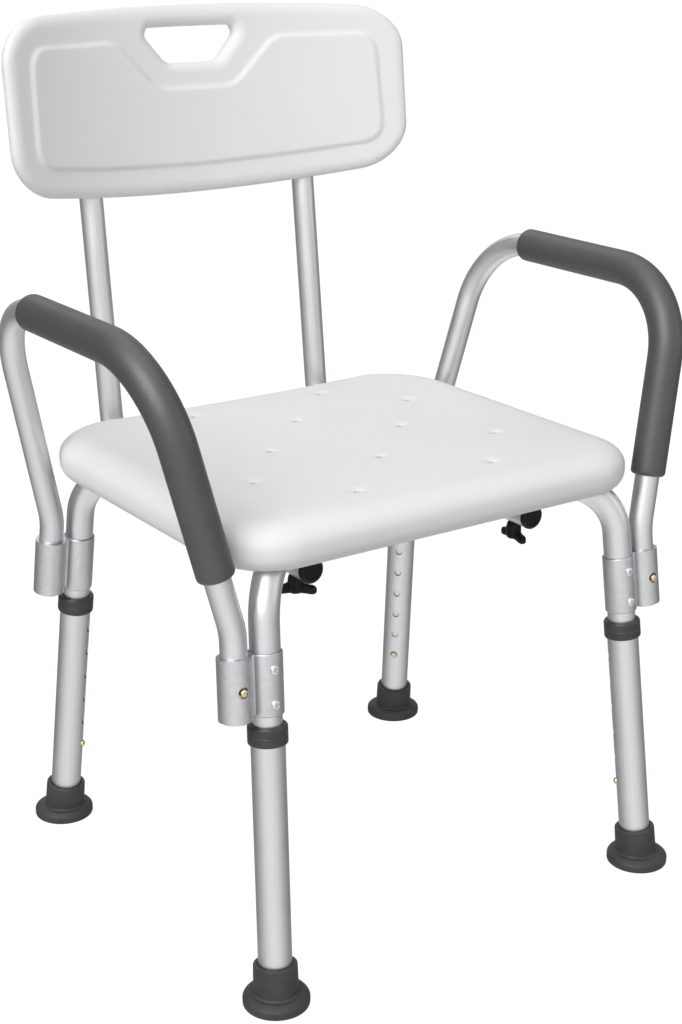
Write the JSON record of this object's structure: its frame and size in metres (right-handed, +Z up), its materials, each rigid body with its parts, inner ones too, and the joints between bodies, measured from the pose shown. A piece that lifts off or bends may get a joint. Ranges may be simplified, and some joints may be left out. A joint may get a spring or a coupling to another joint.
{
  "type": "shower chair",
  "caption": "Shower chair with moulded seat and curved back with a hand hole, padded arms, and four telescoping tube legs with rubber feet.",
  "frame": {"origin": "on the floor, under the middle of the whole chair's bounding box", "axes": "+Z up, front edge of the seat towards -Y, +X to the left of someone sitting in the chair"},
  "size_m": [0.5674, 0.5028, 0.769],
  "materials": {
    "white_plastic": "moulded, fine satin",
    "insert_brass": "machined",
    "button_brass": "polished",
    "tube_aluminium": "satin anodised",
    "bracket_aluminium": "satin extruded",
    "rivet_aluminium": "bright",
    "zinc_steel": "zinc plated",
    "disc_steel": "plain",
    "spring_steel": "plain",
    "grey_rubber": "matte",
    "grey_plastic": "satin",
    "grip_foam": "foam skin, matte",
    "black_plastic": "satin"
  },
  "bodies": {
    "frame": {"seat": "white_plastic", "seat_inserts": "insert_brass", "back_panel": "white_plastic", "back_panel_screws": "zinc_steel", "cross_tube_a": "tube_aluminium", "cross_tube_b": "tube_aluminium", "cross_bolt": "zinc_steel", "cross_nut": "zinc_steel", "tube_saddles": "grey_plastic", "bracket_fl": "bracket_aluminium", "bracket_fr": "bracket_aluminium", "bracket_rl": "bracket_aluminium", "bracket_rr": "bracket_aluminium", "bracket_rivets": "rivet_aluminium", "leg_button_springs": "spring_steel", "arm_tube_l": "tube_aluminium", "arm_tube_r": "tube_aluminium", "arm_grip_l": "grip_foam", "arm_grip_r": "grip_foam", "arm_button_springs": "spring_steel", "back_tube_l": "tube_aluminium", "back_tube_r": "tube_aluminium", "back_tube_plugs": "black_plastic"},
    "leg_fl": {"lower_leg_fl": "tube_aluminium", "leg_collar_fl": "grey_plastic", "foot_fl": "grey_rubber", "foot_disc_fl": "disc_steel"},
    "leg_fr": {"lower_leg_fr": "tube_aluminium", "leg_collar_fr": "grey_plastic", "foot_fr": "grey_rubber", "foot_disc_fr": "disc_steel"},
    "leg_rl": {"lower_leg_rl": "tube_aluminium", "leg_collar_rl": "grey_plastic", "foot_rl": "grey_rubber", "foot_disc_rl": "disc_steel"},
    "leg_rr": {"lower_leg_rr": "tube_aluminium", "leg_collar_rr": "grey_plastic", "foot_rr": "grey_rubber", "foot_disc_rr": "disc_steel"},
    "leg_snap_fl": {"leg_button_fl": "button_brass"},
    "leg_snap_fr": {"leg_button_fr": "button_brass"},
    "leg_snap_rl": {"leg_button_rl": "button_brass"},
    "leg_snap_rr": {"leg_button_rr": "button_brass"},
    "arm_snap_fl": {"arm_button_fl": "button_brass"},
    "arm_snap_fr": {"arm_button_fr": "button_brass"},
    "arm_snap_rl": {"arm_button_rl": "button_brass"},
    "arm_snap_rr": {"arm_button_rr": "button_brass"},
    "wing_fl": {"knob_fl": "black_plastic", "knob_stud_fl": "zinc_steel"},
    "wing_fr": {"knob_fr": "black_plastic", "knob_stud_fr": "zinc_steel"},
    "wing_rl": {"knob_rl": "black_plastic", "knob_stud_rl": "zinc_steel"},
    "wing_rr": {"knob_rr": "black_plastic", "knob_stud_rr": "zinc_steel"}
  },
  "joints": [
    {"name": "leg_fl_height", "type": "slide", "parent": "frame", "child": "leg_fl", "axis": [-0.0468, -0.1131, -0.9925], "range_m": [0, 0.127], "deforming": ["leg_button_fl"]},
    {"name": "leg_fr_height", "type": "slide", "parent": "frame", "child": "leg_fr", "axis": [0.0468, -0.1131, -0.9925], "range_m": [0, 0.127], "deforming": ["leg_button_fr"]},
    {"name": "leg_rl_height", "type": "slide", "parent": "frame", "child": "leg_rl", "axis": [-0.0468, 0.1131, -0.9925], "range_m": [0, 0.127], "deforming": ["leg_button_rl"]},
    {"name": "leg_rr_height", "type": "slide", "parent": "frame", "child": "leg_rr", "axis": [0.0468, 0.1131, -0.9925], "range_m": [0, 0.127], "deforming": ["leg_button_rr"]},
    {"name": "leg_fl_button_press", "type": "slide", "parent": "frame", "child": "leg_snap_fl", "axis": [-0.77, -0.6288, 0.108], "range_m": [0, 0.0045], "stiffness_N_per_m": 1200, "deforming": ["leg_button_springs"]},
    {"name": "leg_fr_button_press", "type": "slide", "parent": "frame", "child": "leg_snap_fr", "axis": [0.77, -0.6288, 0.108], "range_m": [0, 0.0045], "stiffness_N_per_m": 1200, "deforming": ["leg_button_springs"]},
    {"name": "leg_rl_button_press", "type": "slide", "parent": "frame", "child": "leg_snap_rl", "axis": [-0.77, 0.6288, 0.108], "range_m": [0, 0.0045], "stiffness_N_per_m": 1200, "deforming": ["leg_button_springs"]},
    {"name": "leg_rr_button_press", "type": "slide", "parent": "frame", "child": "leg_snap_rr", "axis": [0.77, 0.6288, 0.108], "range_m": [0, 0.0045], "stiffness_N_per_m": 1200, "deforming": ["leg_button_springs"]},
    {"name": "arm_fl_button_press", "type": "slide", "parent": "frame", "child": "arm_snap_fl", "axis": [0, 0.9936, -0.1132], "range_m": [0, 0.0045], "stiffness_N_per_m": 1200, "deforming": ["arm_button_springs"]},
    {"name": "arm_fr_button_press", "type": "slide", "parent": "frame", "child": "arm_snap_fr", "axis": [0, 0.9936, -0.1132], "range_m": [0, 0.0045], "stiffness_N_per_m": 1200, "deforming": ["arm_button_springs"]},
    {"name": "arm_rl_button_press", "type": "slide", "parent": "frame", "child": "arm_snap_rl", "axis": [0, -0.9936, -0.1132], "range_m": [0, 0.0045], "stiffness_N_per_m": 1200, "deforming": ["arm_button_springs"]},
    {"name": "arm_rr_button_press", "type": "slide", "parent": "frame", "child": "arm_snap_rr", "axis": [0, -0.9936, -0.1132], "range_m": [0, 0.0045], "stiffness_N_per_m": 1200, "deforming": ["arm_button_springs"]},
    {"name": "knob_fl_turn", "type": "hinge", "parent": "frame", "child": "wing_fl", "pos_m": [-0.119, -0.12533, 0.32], "axis": [0, 0, 1], "continuous": true},
    {"name": "knob_fr_turn", "type": "hinge", "parent": "frame", "child": "wing_fr", "pos_m": [0.119, -0.12533, 0.32], "axis": [0, 0, 1], "continuous": true},
    {"name": "knob_rl_turn", "type": "hinge", "parent": "frame", "child": "wing_rl", "pos_m": [-0.119, 0.07133, 0.32], "axis": [0, 0, 1], "continuous": true},
    {"name": "knob_rr_turn", "type": "hinge", "parent": "frame", "child": "wing_rr", "pos_m": [0.119, 0.07133, 0.32], "axis": [0, 0, 1], "continuous": true}
  ]
}
